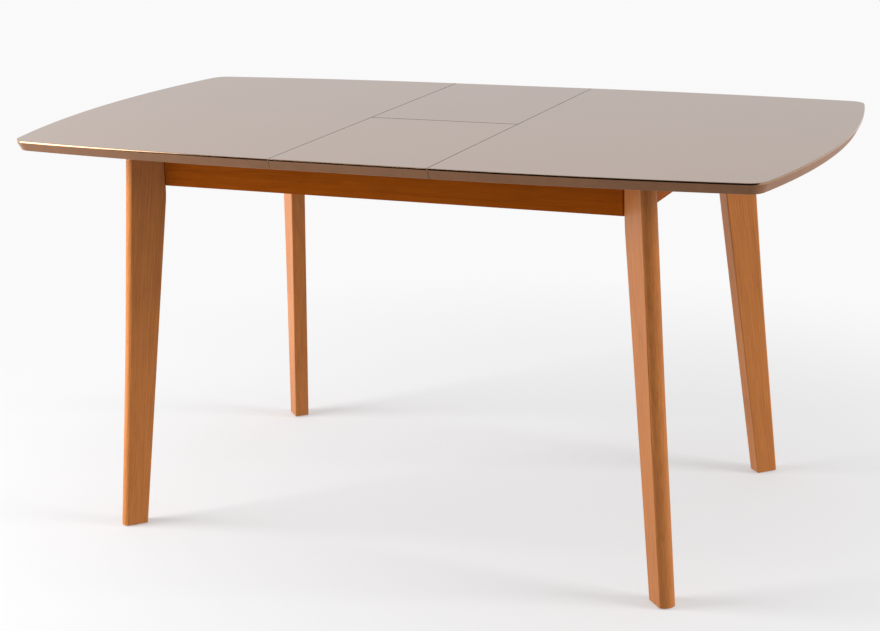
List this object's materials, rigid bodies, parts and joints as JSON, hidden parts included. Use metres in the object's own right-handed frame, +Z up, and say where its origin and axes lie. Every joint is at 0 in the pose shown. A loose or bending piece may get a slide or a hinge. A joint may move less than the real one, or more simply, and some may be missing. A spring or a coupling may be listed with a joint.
{
  "type": "butterfly leaf table",
  "caption": "Extending dining table: lacquered top with a folding butterfly leaf between sliding half tops, on a stained beech frame with tapered, splayed legs.",
  "frame": {"origin": "on the floor, under the middle of the top, with the leaf in place", "axes": "+X along the table to its right end, +Y to its back long edge, +Z up"},
  "size_m": [1.5, 0.8, 0.75],
  "materials": {
    "taupe_lacquer": "satin lacquer on fibreboard",
    "stained_beech": "satin lacquer over a cherry stain",
    "plain_beech": "planed, unstained",
    "felt": "pressed wool felt",
    "nylon": "moulded",
    "hinge_zinc": "die cast, bright",
    "black_steel": "black powder coat",
    "zinc_steel": "zinc plated"
  },
  "bodies": {
    "frame": {"leg_front_left": "stained_beech", "leg_front_right": "stained_beech", "leg_back_left": "stained_beech", "leg_back_right": "stained_beech", "corner_block_front_left": "plain_beech", "corner_block_front_right": "plain_beech", "corner_block_back_left": "plain_beech", "corner_block_back_right": "plain_beech", "apron_front": "stained_beech", "apron_back": "stained_beech", "apron_left": "stained_beech", "apron_right": "stained_beech", "leg_bolts": "zinc_steel", "leg_washers": "zinc_steel", "leg_nuts": "zinc_steel", "foot_glides": "felt", "felt_pads": "felt", "slide_liners": "nylon", "slide_channel_left_front": "zinc_steel", "slide_channel_left_back": "zinc_steel", "slide_channel_right_front": "zinc_steel", "slide_channel_right_back": "zinc_steel", "cross_rail_left": "plain_beech", "cross_rail_right": "plain_beech", "swing_base_left": "black_steel", "swing_base_right": "black_steel", "arm_pivots": "zinc_steel", "base_screws": "zinc_steel"},
    "half_top_left": {"top_left": "taupe_lacquer", "runner_screws_left": "zinc_steel", "runner_left_front": "plain_beech", "runner_left_back": "plain_beech", "slide_rail_left_front": "zinc_steel", "slide_rail_left_back": "zinc_steel"},
    "half_top_right": {"top_right": "taupe_lacquer", "runner_screws_right": "zinc_steel", "runner_right_front": "plain_beech", "runner_right_back": "plain_beech", "slide_rail_right_front": "zinc_steel", "slide_rail_right_back": "zinc_steel"},
    "front_arms": {"swing_arm_front_left": "black_steel", "swing_arm_front_right": "black_steel"},
    "rear_arms": {"swing_arm_rear_left": "black_steel", "swing_arm_rear_right": "black_steel"},
    "back_wing": {"leaf_back": "taupe_lacquer", "hinge_cups_back": "hinge_zinc", "leaf_bracket_left": "black_steel", "leaf_bracket_right": "black_steel", "leaf_pins": "zinc_steel", "bracket_screws": "zinc_steel"},
    "front_wing": {"leaf_front": "taupe_lacquer", "hinge_cups_front": "hinge_zinc"}
  },
  "joints": [
    {"name": "top_left_slide", "type": "slide", "parent": "frame", "child": "half_top_left", "axis": [-1, 0, 0], "range_m": [0, 0.025]},
    {"name": "top_right_slide", "type": "slide", "parent": "frame", "child": "half_top_right", "axis": [1, 0, 0], "range_m": [0, 0.025]},
    {"name": "leaf_swing", "type": "hinge", "parent": "frame", "child": "front_arms", "pos_m": [0, 0.01499, 0.67341], "axis": [1, 0, 0], "range_deg": [0, 154]},
    {"name": "rear_arm_swing", "type": "hinge", "parent": "frame", "child": "rear_arms", "pos_m": [0, 0.13896, 0.67341], "axis": [1, 0, 0], "range_deg": [0, 154]},
    {"name": "leaf_level", "type": "hinge", "parent": "front_arms", "child": "back_wing", "pos_m": [0, 0.11002, 0.718], "axis": [1, 0, 0], "range_deg": [-154, 0]},
    {"name": "leaf_fold", "type": "hinge", "parent": "back_wing", "child": "front_wing", "pos_m": [0, 0, 0.7502], "axis": [1, 0, 0], "range_deg": [-180, 0]}
  ],
  "couplings": [
    {"joint": "rear_arm_swing", "follows": "leaf_swing", "ratio": 1},
    {"joint": "leaf_level", "follows": "leaf_swing", "ratio": -1},
    {"joint": "leaf_fold", "follows": "leaf_swing", "ratio": -1.1688}
  ]
}
